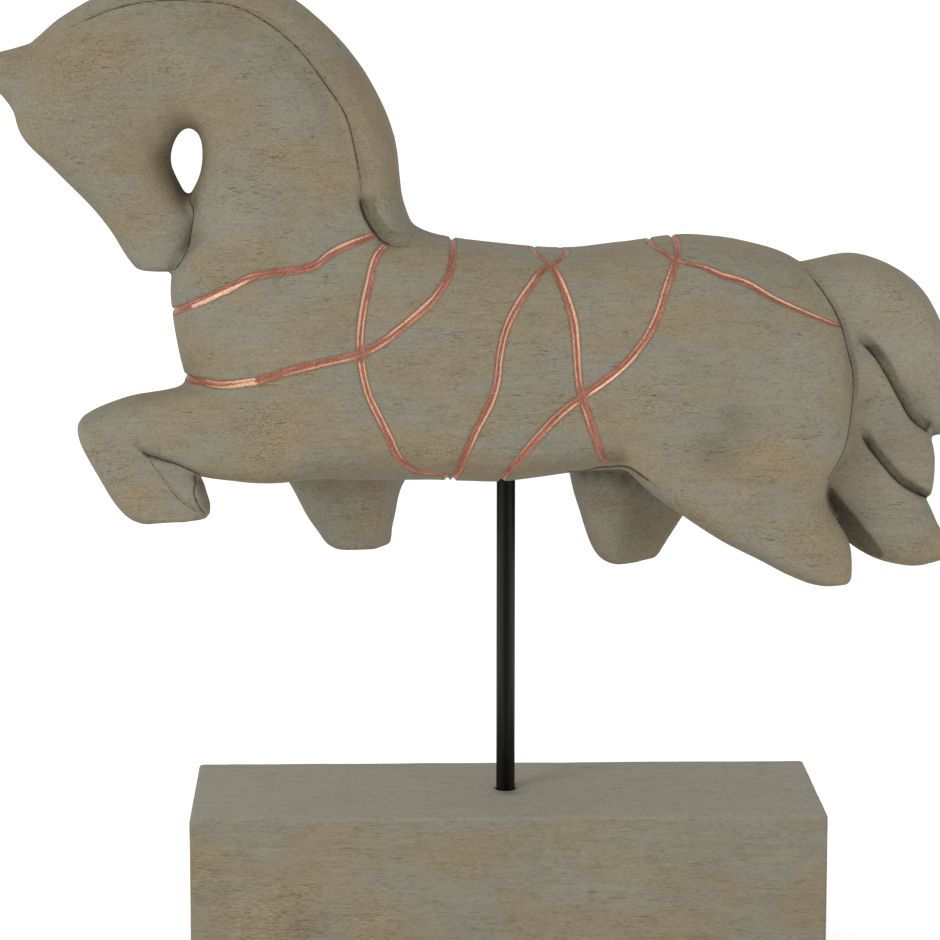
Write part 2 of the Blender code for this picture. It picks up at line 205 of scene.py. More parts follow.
# Each limb's ribs and how square its cuts are: 2 is an oval, more is squarer.
SOFT_LIMBS = [
    ("trunk", TRUNK_TO_MUZZLE, 3.6),
    ("forelock", FORELOCK, 2.2),
    ("near_upper_arm", NEAR_UPPER_ARM, 3.8),
    ("near_lower_leg", NEAR_LOWER_LEG, 4.5),
    ("far_foreleg", FAR_FORELEG, 4.0),
    ("near_hind_leg", NEAR_HIND_LEG, 4.0),
    ("far_hind_leg", FAR_HIND_LEG, 4.0),
]
CRISP_LIMBS = [
    ("mane", MANE, 2.6),
    ("tail_upper_lock", TAIL_UPPER_LOCK, 4.0),
    ("tail_middle_lock", TAIL_MIDDLE_LOCK, 4.0),
    ("tail_lower_lock", TAIL_LOWER_LOCK, 4.0),
]

# Chisel cuts that leave a flat facet on a limb: a point on the facet, the way it faces, and
# the share of painted shade and of painted light laid on it for the way it faces the light.
FACETS = {
    "near_lower_leg": ((-150.1, -39.6, 17.8), (0.365, -0.874, 0.321), 0.12, 0.8),
    "far_foreleg": ((-54.5, 3.4, -20.0), (0.78, -0.60, -0.16), 0.0, 0.5),
    "far_hind_leg": ((47.5, 3.0, -22.0), (0.50, -0.85, -0.14), 0.16, 0.0),
    "tail_lower_lock": ((145.5, -20.0, -9.5), (-0.60, -0.58, -0.55), 0.8, 0.0),
}

# Places where a limb melts into the body, and ends that keep their edges: x, z and reach.
MELTING_JOINTS = [(-92, 34, 40), (100, 52, 58)]
CRISP_ENDS = [(-146, 92, 13), (-131, 106, 9), (-141, 0, 22), (-61, -24, 20), (54, -30, 26), (138, -33, 22)]

# Soft dips pressed into both sides: x, z, reach and depth.
HOLLOWS = [(-134, 138, 14, 3.4), (-58, 116, 10, 1.2)]

# The meshes: a limb's corners and steps, the grid of the skin, how often it is softened and
# how far off a crisp end that sets in, the most triangles it keeps, and the block's grid.
RING_CORNERS = 48
STEPS_BETWEEN_RIBS = 5
STEPS_BETWEEN_POINTS = 4
SKIN_STEP = 1.2
FIRST_ROUNDS = 5
SOFT_ROUNDS = 24
CRISP_ROUNDS = 3
MELTING_ROUNDS = 124
CRISP_FADE = 8.0
SKIN_TRIANGLES = 190000
BLOCK_STEP = 1.5

# The uneven surface that tools leave on the horse and on the block: size and depth. The
# block's base is flat up to this height, and the rod's ends are eased by this much.
CARVER_MARKS = [(22, 0.35), (9, 0.12)]
SAW_MARKS = [(30, 0.15), (8, 0.08)]
BASE_FLAT = 0.4
ROD_EASE = 0.3

# How far the drill goes past the rod's ends, and starts below the belly and above the block.
DRILL_SPARE = 0.3
DRILL_BELOW_BELLY = 8.0
DRILL_ABOVE_BLOCK = 5.0

# Which corners count as part of a facet: how squarely they face with it and over what span
# that fades in, how near its plane they lie, and how far from its point.
FACET_SQUARE = 0.93
FACET_SPAN = 0.04
FACET_NEAR = 1.5
FACET_REACH = 32

# The string's grooves, wound round the body and painted copper: x, z, half width, and how
# strongly a painted highlight lies on the left and the right rim, all along the groove as a
# side view shows it. Then the way x, z that it leaves over the back, under the belly or round
# the chest at its start and its end, or None where it stops. Both sides carry them.
STRING_DEPTH = 1.3
STRING_STEP = 0.5
STRING_ROUNDNESS = 0.75
STRINGS = [
    ([(-131.8, 78.6, 1.9, 0.5, 3.2), (-125.4, 81.4, 1.9, 0.3, 3.7), (-112.2, 87.7, 1.8, 0.0, 3.3),
      (-107.5, 90.2, 1.8, 0.6, 0.6), (-97.7, 92.2, 1.7, 0.2, 0.3), (-80.8, 95.0, 1.8, 0.1, 0.3),
      (-73.8, 99.9, 1.9, 1.3, 0.2), (-66.4, 103.6, 1.8, 1.5, 0.2), (-56.5, 107.2, 1.5, 0.5, 0.1)],
     (-0.89, -0.45), None),
    ([(-125.8, 47.4, 1.9, 0.6, 0.5), (-118.3, 46.6, 2.0, 0.7, 1.7), (-108.5, 47.5, 1.9, 1.8, 3.4),
      (-105.5, 47.9, 1.9, 2.4, 3.6), (-104.2, 48.1, 1.9, 0.0, 0.2), (-91.8, 51.8, 2.0, 0.0, 0.5),
      (-79.0, 55.1, 2.0, 0.0, 0.7), (-60.0, 60.0, 1.9, 0.1, 0.7), (-51.7, 64.7, 1.9, 0.3, 0.6),
      (-47.5, 67.9, 1.9, 1.1, 0.1), (-36.9, 76.6, 1.9, 1.7, 0.0), (-30.2, 83.1, 1.8, 1.1, 0.0),
      (-25.2, 90.9, 1.8, 0.1, 0.0), (-23.6, 95.5, 1.7, 0.0, 0.0)], (-1.0, 0.0), (0.15, 1.0)),
    ([(-51.8, 102.5, 1.6, 0.1, 0.6), (-54.9, 98.6, 1.8, 0.2, 1.2), (-58.2, 86.9, 1.9, 0.2, 1.6),
      (-60.7, 74.8, 1.9, 0.9, 1.4), (-61.6, 61.2, 1.8, 1.0, 1.1), (-58.8, 44.4, 1.8, 0.8, 1.2),
      (-54.7, 34.8, 1.9, 0.9, 0.9), (-49.8, 24.7, 1.8, 1.1, 0.3), (-44.8, 14.3, 1.7, 0.7, 0.1),
      (-37.7, 8.8, 1.6, 0.3, 0.1), (-31.9, 7.4, 1.5, 0.1, 0.0), (-26.5, 7.0, 1.4, 0.0, 0.0)],
     None, (0.3, -1.0)),
    ([(17.9, 94.7, 1.6, 0.0, 0.0), (13.4, 92.3, 1.7, 0.0, 0.2), (10.3, 88.9, 1.7, 0.0, 1.3),
      (3.6, 79.6, 1.8, 0.2, 1.4), (-1.4, 69.4, 1.8, 0.7, 0.9), (-3.9, 58.6, 1.8, 0.9, 0.8),
      (-5.1, 47.4, 1.8, 1.0, 0.6), (-7.6, 39.1, 1.8, 1.0, 0.4), (-13.4, 27.7, 1.8, 1.0, 0.1),
      (-17.5, 18.2, 1.8, 0.5, 0.1), (-21.2, 8.0, 1.7, 0.1, 0.0)], (0.91, 0.41), (-0.35, -1.0)),
    ([(17.9, 94.7, 1.6, 0.0, 0.0), (19.6, 91.8, 1.8, 0.5, 0.0), (22.7, 84.9, 1.9, 1.2, 0.2),
      (26.3, 73.3, 2.0, 1.6, 0.6), (27.5, 63.4, 1.9, 1.4, 0.9), (28.4, 50.6, 1.8, 0.9, 0.9),
      (29.7, 41.2, 1.8, 0.3, 0.7), (32.2, 34.2, 1.9, 0.2, 1.0), (34.8, 26.5, 1.9, 0.2, 0.4),
      (37.4, 18.6, 1.8, 0.0, 0.1), (40.2, 12.8, 1.4, 0.0, 0.0)], (-0.87, 0.5), None),
    ([(69.1, 97.2, 1.8, 0.2, 0.2), (66.3, 90.8, 1.8, 0.2, 1.0), (64.2, 85.2, 1.8, 0.2, 1.2),
      (61.6, 76.8, 1.9, 0.1, 1.3), (56.3, 65.7, 1.9, 0.3, 0.8), (47.3, 54.4, 1.9, 1.0, 0.4),
      (38.7, 47.2, 1.9, 1.3, 0.3), (29.7, 40.8, 1.8, 0.8, 0.4), (20.6, 33.4, 2.0, 0.7, 0.6),
      (12.0, 24.0, 2.0, 0.3, 1.0), (4.6, 14.8, 1.8, 0.1, 0.9), (-0.9, 7.5, 1.7, 0.0, 0.3)],
     (0.3, 1.0), (-0.3, -1.0)),
    ([(69.1, 97.2, 1.6, 0.4, 0.4), (73.0, 96.1, 1.0, 0.2, 0.1), (80.9, 94.3, 1.4, 0.7, 0.1),
      (87.4, 91.6, 1.7, 0.8, 0.2), (98.1, 88.0, 1.9, 0.9, 0.4), (109.3, 81.7, 1.5, 1.2, 0.1),
      (120.7, 76.5, 1.2, 1.5, 0.0), (132.3, 71.6, 1.0, 0.8, 0.0), (138.4, 69.3, 0.9, 0.5, 0.0)],
     (-0.87, 0.45), None),
]

# Where a string is laid: how far off the rays start beside the horse and round it, how many
# go round and how far they turn each way in radians, and how much narrower the groove is.
RAY_BESIDE = 200.0
RAY_ROUND = 60.0
ROUND_RAYS = 60
ROUND_TURN = 1.57
ROUND_WIDTH = 0.85

# Every string's run starts this far past the one before, so that their brush marks differ.
# The painted highlights on the rims fade out this close to another string. A corner this far
# off the skin, or past a string's end by this share of its half width, is measured straight to
# it. The last is how many half widths to the left or right are told apart.
RUN_APART = 300
RIM_CLEAR = 2.0
OFF_SKIN = 3.0
PAST_END = 0.6
WIDEST_OFF = 1.5

# How far from a line the faces are split: in half widths of a string, and beside a cut.
SPLIT_WIDTHS = 1.5
SPLIT_BESIDE = 2.5

# Knife cuts between the forms: the line, its depth, how far the cut slopes away to the
# left and to the right of the line as it is walked, the side that carries it, -1 near and
# 0 both, the half width of the dark line painted in it as painted shade with dirt, how much
# painted shade the left slope takes, and the lengths over which the cut fades in and out.
MANE_LINE = [
    (-192, 186), (-176, 194), (-161, 200), (-145, 203), (-129, 203), (-113, 201), (-99, 194), (-86, 183),
    (-76, 170), (-67, 156), (-63, 140), (-61, 129), (-60.5, 119)]
MANE_HOLLOW = [
    (-62, 124.5), (-61, 119.3), (-59.7, 115.2), (-57.7, 111.5), (-54.8, 107.3), (-51.5, 104.4),
    (-47.4, 102.8), (-42.4, 102.3), (-35, 102.1)]
JAW_LINE = [
    (-132.6, 121.4), (-130.4, 117.5), (-130.6, 113), (-131.7, 106.7), (-133, 100.8), (-136, 95.5),
    (-139, 91.5)]
RUMP_LINE = [
    (121, 95), (128.5, 86), (134.4, 77.3), (137.8, 70.2), (140.5, 61), (143, 51.4), (143.7, 43.9),
    (142.6, 33.4), (140.3, 19.6), (137.1, 12.4), (132.7, 4.4)]
ELBOW_FOLD = [(-155.8, 22), (-150.1, 17.8), (-143.5, 15.4), (-137, 13.1), (-127.6, 8.5)]
FACET_EDGE = [(-151.5, 19.5), (-144.5, 9.4), (-137.2, -0.8), (-132.3, -4.4), (-127.5, -8.2)]
HOOF_CRACK = [(-130.7, 9.1), (-130.2, 5.1), (-130.7, 2.2), (-129.4, -2.8), (-125.9, -8.5)]
BELLY_CREASE = [
    (23, 7.4), (28, 6.8), (32.5, 7.2), (37.5, 9.4), (43.4, 9.9), (48.5, 10.6), (52.1, 9.4), (58.6, 4.9),
    (66.9, -1.4)]
UPPER_LOCK_EDGE = [
    (144, 64), (148.3, 60.6), (153.4, 55.2), (158.6, 46.7), (163.8, 37.4), (169, 28.9), (177, 22.5)]
MIDDLE_LOCK_EDGE = [(146.6, 25.7), (151.8, 16.8), (157.9, 9.1), (164.8, 1.4), (172.5, -3.7), (178, -6.5)]
CUTS = [
    (MANE_LINE, 1.3, 3.0, 0.6, 0, 0.3, 0.15, 28, 14),
    (MANE_HOLLOW, 3.0, 6.0, 0.8, 0, 0.6, 0.5, 5, 22),
    (JAW_LINE, 0.9, 1.0, 1.6, 0, 0.34, 0.0, 1, 1),
    (RUMP_LINE, 1.4, 2.4, 0.6, 0, 0.38, 0.2, 12, 1),
    (ELBOW_FOLD, 1.2, 1.6, 1.2, -1, 0.5, 0.35, 6, 1),
    (FACET_EDGE, 0.1, 1.6, 0.6, -1, 0.2, 0.2, 6, 3),
    (HOOF_CRACK, 0.8, 0.6, 0.6, -1, 0.3, 0.0, 1, 1),
    (BELLY_CREASE, 0.5, 0.9, 0.9, -1, 0.7, 0.3, 3, 16),
    (UPPER_LOCK_EDGE, 3.8, 4.2, 0.7, 0, 0.45, 0.62, 10, 1),
    (MIDDLE_LOCK_EDGE, 3.4, 3.4, 0.7, 0, 0.45, 0.62, 8, 1),
]

# How far beside its line a cut is looked for, how much of it is left at its very ends, and
# the share of the thickness there that no cut goes past.
CUT_REACH = 9.0
LEFT_AT_ENDS = 0.1
DEEPEST_SHARE = 0.8

# Painted shade and light: how far off its line a mark is told apart, how fast a cut's dark line
# thins as the cut fades, how softly a slope's painted shade ends, how much painted shade lies on
# what faces down and from where, how much on the block's sides, and how much paler the block's
# top is painted, as painted light.
FARTHEST_LINE_GAP = 4.0
LINE_SHADE_FADE = 1.6
SLOPE_SOFT = 0.7
SHADE_BELOW = 0.3
BELOW_FROM = 0.2
BELOW_SPAN = 0.5
SHADE_ON_SIDES = 0.08
LIGHT_ON_TOP = 1.25

# Where hands and time have left their marks, and where shade is painted: x, y, z, reach and
# strength. Those with y below 0 are on both sides. Worn wood is tan under the wash; grime is
# dark, partly dirt and partly painted shade in hollows and where parts meet; pale patches hold
# more of the wash.
WORN_ON_HORSE = [
    (-172, -22, 160, 34, 0.45), (-182, -20, 164, 12, 0.6), (-150, -22, 178, 26, 0.35),
    (-134, -22, 168, 10, 0.6), (-147, -22, 160, 9, 0.4), (-101, -26, 139, 16, 0.55),
    (-74, -26, 127, 9, 0.5), (-60, -22, 160, 16, 0.3),
    (-111, -30, 69, 16, 0.3), (-99, -38, 25, 22, 0.55), (-169, -38, 23, 9, 0.4), (-157, -38, -2, 10, 0.4),
    (-33, -34, 12, 14, 0.4), (-20, -38, 30, 12, 0.2), (56, -38, 41, 11, 0.6), (47, -36, 16, 6, 0.5),
    (111, -36, 18, 13, 0.9), (96, -36, -3, 15, 0.5), (124, -36, -22, 10, 0.6), (75, -38, 81, 9, 0.3),
    (172, -15, -28, 9, 0.5), (166, -17, -14, 10, 0.3), (157, -20, 79, 10, 0.3), (-58, 3, -10, 14, 0.4),
    (-73, -20, 172, 10, 0.3)]
GRIME_AND_SHADE_ON_HORSE = [
    (-144, -20, 139, 7, 0.45), (-138, -20, 155, 8, 0.4), (-131, -22, 121, 4, 0.7), (44, -33, 14, 6, 0.6),
    (-51, -28, 104, 5, 0.5), (-126, -36, 6, 4, 0.5), (-148, -38, 18, 4, 0.4), (85, -41, 18, 8, 0.35),
    (93, -41, 30, 9, 0.3), (-90, 1, 3, 8, 0.5), (-75, 1, 1, 8, 0.4), (-58, 1, 2, 8, 0.5), (-42, 1, 2, 7, 0.4),
    (27, 3, 3, 5, 0.8), (33, 3, 3, 5, 0.9), (39, 3, 3, 5, 0.9), (45, 3, 3, 5, 0.9), (51, 3, 0, 6, 0.9),
    (58, 3, -5, 7, 0.7), (66, 5, -10, 8, 0.6), (60, 8, -20, 14, 0.4), (145, -12, -14, 8, 0.4),
    (158, -26, 22, 20, 0.22), (-165, -22, 160, 40, 0.1), (-75, -22, 172, 22, 0.2),
    (-120, -18, 207, 24, 0.16), (105, -38, 62, 36, 0.07)]
PALE_ON_HORSE = [
    (-114, -28, 112, 10, 0.4), (-88, -26, 160, 14, 0.35), (118, -38, 55, 22, 0.4),
    (90, -38, 60, 18, 0.25), (168, -22, 60, 24, 0.6), (150, -22, 80, 18, 0.5), (-100, -38, 62, 16, 0.3),
    (40, 3, -20, 9, 0.6), (-148, -38, 30, 12, 0.3), (150, -24, 24, 14, 0.4), (162, -20, 8, 16, 0.4),
    (150, -20, 2, 9, 0.5)]
WORN_ON_BLOCK = [
    (-98, -47, -182, 26, 0.9), (-60, -47, -178, 18, 0.5), (-128, -47, -158, 12, 0.7),
    (-118, -47, -172, 14, 0.5), (-17, -47, -157, 8, 0.5), (70, -47, -170, 22, 0.25),
    (-105, -47, -145, 14, 0.2)]
GRIME_ON_BLOCK = [(-88, -47, -184, 12, 0.3), (2, -7, -135, 4, 0.5)]
PALE_ON_BLOCK = [(-4, -3.5, -135, 3.5, 1.0), (-60, -47, -150, 30, 0.2), (40, -47, -165, 24, 0.25)]


def linear(code):
    """Return a colour given as an sRGB hex code in the linear values that shaders take."""
    shares = [int(code[i:i + 2], 16) / 255 for i in (1, 3, 5)]
    return (*[s / 12.92 if s <= 0.04045 else ((s + 0.055) / 1.055) ** 2.4 for s in shares], 1.0)


def add(tree, kind, inputs=None, output=0, **settings):
    """Add a shader node with its settings, link or set its inputs, and return one of its outputs."""
    made = tree.nodes.new("ShaderNode" + kind)
    for name, value in settings.items():
        setattr(made, name, value)
    for socket, value in (inputs or {}).items():
        if isinstance(value, bpy.types.NodeSocket):
            tree.links.new(value, made.inputs[socket])
        else:
            made.inputs[socket].default_value = value
    return made.outputs[output]


# Modelling.
def smooth_through(knots, steps, seen):
    """Return a smooth curve through the knots, spaced by their first few numbers."""
    knots = np.array(knots, float)
    gaps = np.sqrt(np.linalg.norm(np.diff(knots[:, :seen], axis=0), axis=1))
    slopes = np.gradient(knots, np.concatenate([[0.0], np.cumsum(gaps)]), axis=0)
    points = []
    for i, gap in enumerate(gaps):
        for t in np.arange(steps) / steps:
            leave = (2 * t ** 3 - 3 * t ** 2 + 1) * knots[i] + (t ** 3 - 2 * t ** 2 + t) * gap * slopes[i]
            reach = (3 * t ** 2 - 2 * t ** 3) * knots[i + 1] + (t ** 3 - t ** 2) * gap * slopes[i + 1]
            points.append(leave + reach)
    points.append(knots[-1])
    return np.array(points)


def signed_power(value, power):
    return math.copysign(abs(value) ** power, value)


def rib_corner(rib, squareness, number):
    """Return one corner of a cut across a limb."""
    ax, az, bx, bz, middle, half_a, half_b = rib
    angle = 2 * math.pi * number / RING_CORNERS
    share = (1 + signed_power(math.cos(angle), 2 / squareness)) / 2
    half = half_a + (half_b - half_a) * share
    y = (middle + signed_power(math.sin(angle), 2 / squareness) * half) * HALF_THICKNESS
    return Vector(((ax + (bx - ax) * share) * MM, y * MM, LEVEL + (az + (bz - az) * share) * MM))


def place_ring(mesh, rib, squareness):
    """Set the selected ring of an open edit mesh to a cut across the limb."""
    form = bmesh.from_edit_mesh(mesh)
    number = form.verts.layers.int["number"]
    for corner in form.verts:
        if corner.select:
            corner.co = rib_corner(rib, squareness, corner[number])
    bmesh.update_edit_mesh(mesh)


def draw_limb(name, ribs, squareness):
    """Draw a limb out of a circle, ring by ring, through its ribs."""
    bpy.ops.object.select_all(action="DESELECT")
    bpy.ops.mesh.primitive_circle_add(vertices=RING_CORNERS, radius=HALF_THICKNESS * MM, fill_type="NGON")
    limb = bpy.context.object
    limb.name = name
    numbers = limb.data.attributes.new("number", "INT", "POINT")
    numbers.data.foreach_set("value", list(range(RING_CORNERS)))
    bpy.ops.object.mode_set(mode="EDIT")
    bpy.ops.mesh.select_all(action="SELECT")
    for step, rib in enumerate(smooth_through(ribs, STEPS_BETWEEN_RIBS, seen=4)):
        if step:
            bpy.ops.mesh.extrude_region_move()
        place_ring(limb.data, rib, squareness)
    bpy.ops.mesh.select_all(action="SELECT")
    bpy.ops.mesh.normals_make_consistent(inside=False)
    if name in FACETS:
        (x, y, z), facing, *facet_shading = FACETS[name]
        bpy.ops.mesh.bisect(plane_co=(x * MM, y * MM, LEVEL + z * MM), plane_no=facing, use_fill=True,
                            clear_outer=True)
    bpy.ops.object.mode_set(mode="OBJECT")
    return limb


def join(pieces):
    """Join pieces into the first of them."""
    bpy.ops.object.select_all(action="DESELECT")
    for piece in pieces:
        piece.select_set(True)
    bpy.context.view_layer.objects.active = pieces[0]
    bpy.ops.object.join()
    return pieces[0]


def modify(piece, kind, **settings):
    """Apply one modifier to a piece."""
    modifier = piece.modifiers.new(kind, kind)
    for name, value in settings.items():
        setattr(modifier, name, value)
    bpy.context.view_layer.objects.active = piece
    bpy.ops.object.modifier_apply(modifier=modifier.name)


def fuse(piece, rounds):
    """Make joined limbs one skin and soften the corners between them."""
    modify(piece, "REMESH", mode="VOXEL", voxel_size=SKIN_STEP * MM)
    modify(piece, "SMOOTH", factor=0.5, iterations=rounds)


def corners_of(piece):
    places = np.empty(len(piece.data.vertices) * 3)
    piece.data.vertices.foreach_get("co", places)
    return places.reshape(-1, 3)


def place_corners(piece, places):
    piece.data.vertices.foreach_set("co", places.ravel())
    piece.data.update()


def side_view(piece):
    """Return each corner's x and z in the carving's millimetres."""
    places = corners_of(piece)
    return np.column_stack([places[:, 0], places[:, 2] - LEVEL]) / MM


def smooth_where(horse, weights, rounds):
    """Smooth the skin by a weight for each corner."""
    group = horse.vertex_groups.new(name="softening")
    for number in np.flatnonzero(weights > 0):
        group.add([int(number)], float(weights[number]), "REPLACE")
    modify(horse, "SMOOTH", factor=0.5, iterations=rounds, vertex_group=group.name)
    horse.vertex_groups.clear()


def gap_to(seen, x, z):
    return np.hypot(seen[:, 0] - x, seen[:, 1] - z)


def soften(horse):
    """Round the forms off, less at the ends that keep their edges and more where a limb melts in."""
    seen = side_view(horse)
    away = np.min([gap_to(seen, x, z) - reach for x, z, reach in CRISP_ENDS], axis=0)
    smooth_where(horse, np.clip(away / CRISP_FADE, 0, 1), SOFT_ROUNDS)
    seen = side_view(horse)
    near = np.max([2 - 2 * gap_to(seen, x, z) / reach for x, z, reach in MELTING_JOINTS], axis=0)
    smooth_where(horse, np.clip(near, 0, 1), MELTING_ROUNDS)


def press_hollows(horse):
    """Press the soft dips into both sides."""
    places = corners_of(horse)
    seen = side_view(horse)
    for x, z, reach, depth in HOLLOWS:
        places[:, 1] -= np.sign(places[:, 1]) * depth * MM * np.exp(-(gap_to(seen, x, z) / reach) ** 2)
    place_corners(horse, places)


def measure_from(line, seen, reach):
    """Return how far points lie to the left of a line, seen from the side, and how far along it.

    Points past the reach come back as far off.
    """
    curve = smooth_through(line, STEPS_BETWEEN_POINTS, seen=2)
    off = np.full(len(seen), 1e3)
    along = np.zeros(len(seen))
    near = ((seen > curve.min(0) - reach) & (seen < curve.max(0) + reach)).all(axis=1)
    points = seen[near]
    best = np.full(len(points), 1e3)
    left = np.ones(len(points))
    walked = np.zeros(len(points))
    length = 0.0
    for start, end in zip(curve, curve[1:]):
        run = end - start
        size = np.linalg.norm(run)
        share = np.clip((points - start) @ run / size ** 2, 0, 1)
        gap = points - start - share[:, None] * run
        distance = np.linalg.norm(gap, axis=1)
        closer = distance < best
        best[closer] = distance[closer]
        left[closer] = np.sign(run[0] * gap[closer, 1] - run[1] * gap[closer, 0])
        walked[closer] = length + share[closer] * size
        length += size
    off[near] = best * np.where(left == 0, 1, left)
    along[near] = walked
    return off, along


def normals_of(piece):
    normals = np.empty(len(piece.data.vertices) * 3)
    piece.data.vertex_normals.foreach_get("vector", normals)
    return normals.reshape(-1, 3)


def side_place(skin, x, z, side):
    """Return the skin's place and normal at x, z, seen from the near side, -1, or the far side, 1."""
    outside = Vector((x * MM, RAY_BESIDE * MM * side, LEVEL + z * MM))
    place, normal, *others = skin.ray_cast(outside, Vector((0, -side, 0)))
    return [*place, *normal]


def round_body(skin, x, z, heading):
    """Return the skin's places and normals from the near side to the far side, by way of a heading."""
    middle = Vector((x * MM, 0, LEVEL + z * MM))
    heading = Vector((heading[0], 0, heading[1])).normalized()
    turns = np.linspace(-ROUND_TURN, ROUND_TURN, ROUND_RAYS)
    ways = [heading * math.cos(turn) + Vector((0, math.sin(turn), 0)) for turn in turns]
    hits = [skin.ray_cast(middle + way * RAY_ROUND * MM, -way) for way in ways]
    return [[*place, *normal] for place, normal, *others in hits]


def lay_strings(horse):
    """Lay the strings on the skin in rows a step apart: place, heading, normal, half width, rims and run."""
    skin = BVHTree.FromObject(horse, bpy.context.evaluated_depsgraph_get())
    strings = []
    for number, (line, way_in, way_out) in enumerate(STRINGS):
        curve = smooth_through(line, 2 * STEPS_BETWEEN_POINTS, seen=2)
        runs = [([side_place(skin, x, z, side) for x, z, *others in curve], curve[:, 2:]) for side in (-1, 1)]
        for knot, way in ((curve[0], way_in), (curve[-1], way_out)):
            if way:
                places = round_body(skin, knot[0], knot[1], way)
                runs.append((places, np.tile([knot[2] * ROUND_WIDTH, 0, 0], (len(places), 1))))
        rows = []
        for places, shape in runs:
            places = np.array(places)
            gone = np.concatenate([[0.0], np.cumsum(np.linalg.norm(np.diff(places[:, :3], axis=0), axis=1))])
            steps = np.arange(0, gone[-1], STRING_STEP * MM)
            laid = np.column_stack([np.interp(steps, gone, column) for column in places.T])
            heading = np.gradient(laid[:, :3], axis=0)
            heading /= np.linalg.norm(heading, axis=1)[:, None]
            shape = np.column_stack([np.interp(steps, gone, column) for column in shape.T])
            run = steps / MM + RUN_APART * number
            rows.append(np.column_stack([laid[:, :3], heading, laid[:, 3:], shape, run]))
        strings.append(np.concatenate(rows))
    for number, rows in enumerate(strings):
        others = np.concatenate(strings[:number] + strings[number + 1:])[:, :3]
        gap = np.array([np.linalg.norm(others - place, axis=1).min() for place in rows[:, :3]])
        rows[:, 10:12] *= np.clip(gap / MM / RIM_CLEAR - 1, 0, 1)[:, None]
    return np.concatenate(strings)


def measure_strings(horse, strings):
    """Return each corner's half widths from the nearest string and to its left, with its rims and run."""
    tree = KDTree(len(strings))
    for number, row in enumerate(strings):
        tree.insert(row[:3], number)
    tree.balance()
    places = corners_of(horse)
    nearest = strings[[tree.find(place)[1] for place in places]]
    gap = places - nearest[:, :3]
    heading = nearest[:, 3:6]
    outward = nearest[:, 6:9]
    width = nearest[:, 9] * MM
    straight = np.linalg.norm(gap, axis=1) / width
    along = (gap * heading).sum(axis=1)
    height = (gap * outward).sum(axis=1)
    gap -= heading * along[:, None] + outward * height[:, None]
    far = np.linalg.norm(gap, axis=1) / width
    left = np.sign((np.cross(heading, gap) * outward).sum(axis=1))
    away = (abs(along) > PAST_END * width) | (abs(height) > OFF_SKIN * MM)
    far = np.where(away, np.maximum(straight, far), far)
    return far, far * left, nearest[:, 10:12], nearest[:, 12]


def refine_near_lines(horse, strings):
    """Split the faces along every groove and cut, so that their edges come out crisp."""
    seen = side_view(horse)
    close = measure_strings(horse, strings)[0] < SPLIT_WIDTHS
    for line, depth, left, right, *others in CUTS:
        off = measure_from(line, seen, CUT_REACH)[0]
        close |= (off < min(left, SPLIT_BESIDE) + SKIN_STEP) & (off > -min(right, SPLIT_BESIDE) - SKIN_STEP)
    bpy.ops.object.select_all(action="DESELECT")
    horse.select_set(True)
    bpy.context.view_layer.objects.active = horse
    bpy.ops.object.mode_set(mode="EDIT")
    bpy.ops.mesh.select_mode(type="VERT")
    bpy.ops.mesh.select_all(action="DESELECT")
    bpy.ops.object.mode_set(mode="OBJECT")
    horse.data.vertices.foreach_set("select", close)
    bpy.ops.object.mode_set(mode="EDIT")
    bpy.ops.mesh.select_mode(type="FACE")
    bpy.ops.mesh.subdivide(number_cuts=1)
    bpy.ops.object.mode_set(mode="OBJECT")
    modify(horse, "SMOOTH", factor=0.5, iterations=1)


def wind_strings(horse, strings):
    """Press the string's grooves into the skin, square to it."""
    far = measure_strings(horse, strings)[0]
    press = STRING_DEPTH * MM * np.clip(1 - far, 0, 1) ** STRING_ROUNDNESS
    place_corners(horse, corners_of(horse) - normals_of(horse) * press[:, None])


def fade(along, fade_in, fade_out):
    """Return how much of a cut is left along it, as it fades in and out."""
    left = np.minimum(along / fade_in, (along.max() - along) / fade_out)
    return np.clip(left + LEFT_AT_ENDS, 0, 1)


def cut_between_forms(horse):
    """Cut the lines between the forms, straight across the horse."""
    places = corners_of(horse)
    seen = side_view(horse)
    for line, depth, left, right, side, shade_width, grime, fade_in, fade_out in CUTS:
        off, along = measure_from(line, seen, CUT_REACH)
        slope = np.where(off > 0, off / left, -off / right)
        press = depth * MM * np.clip(1 - slope, 0, 1) * fade(along, fade_in, fade_out)
        press[places[:, 1] * side < 0] = 0
        press = np.minimum(press, abs(places[:, 1]) * DEEPEST_SHARE)
        places[:, 1] -= np.sign(places[:, 1]) * press
    place_corners(horse, places)


def rough_out(piece, marks):
    """Give a surface the uneven hand of a carver: soft marks of a size and depth in millimetres."""
    places = corners_of(piece)
    lift = np.zeros(len(places))
    for size, depth in marks:
        lift += [depth * MM * noise.noise(Vector(place) / (size * MM)) for place in places]
    place_corners(piece, places + normals_of(piece) * lift[:, None])


def patch_shares(piece, patches):
    """Return how strongly patches of wear cover each corner."""
    places = corners_of(piece)
    places[:, 2] -= LEVEL
    mirrored = places * (1, 0, 1) - np.abs(places) * (0, 1, 0)
    shares = np.zeros(len(places))
    for x, y, z, reach, strength in patches:
        gap = ((mirrored if y < 0 else places) / MM - (x, y, z)) / reach
        shares = np.maximum(shares, strength * np.exp(-(gap ** 2).sum(axis=1)))
    return shares


def record(piece, **values):
    """Keep values on a piece's corners for its material."""
    for name, numbers in values.items():
        piece.data.attributes.new(name, "FLOAT", "POINT").data.foreach_set("value", numbers)


def facet_share(horse, place, facing):
    """Return how surely each corner lies on a facet."""
    gap = corners_of(horse) / MM - (0, 0, LEVEL / MM) - place
    facing = np.array(facing) / np.linalg.norm(facing)
    square = np.clip((normals_of(horse) @ facing - FACET_SQUARE) / FACET_SPAN, 0, 1)
    return square * (abs(gap @ facing) < FACET_NEAR) * (np.linalg.norm(gap, axis=1) < FACET_REACH)


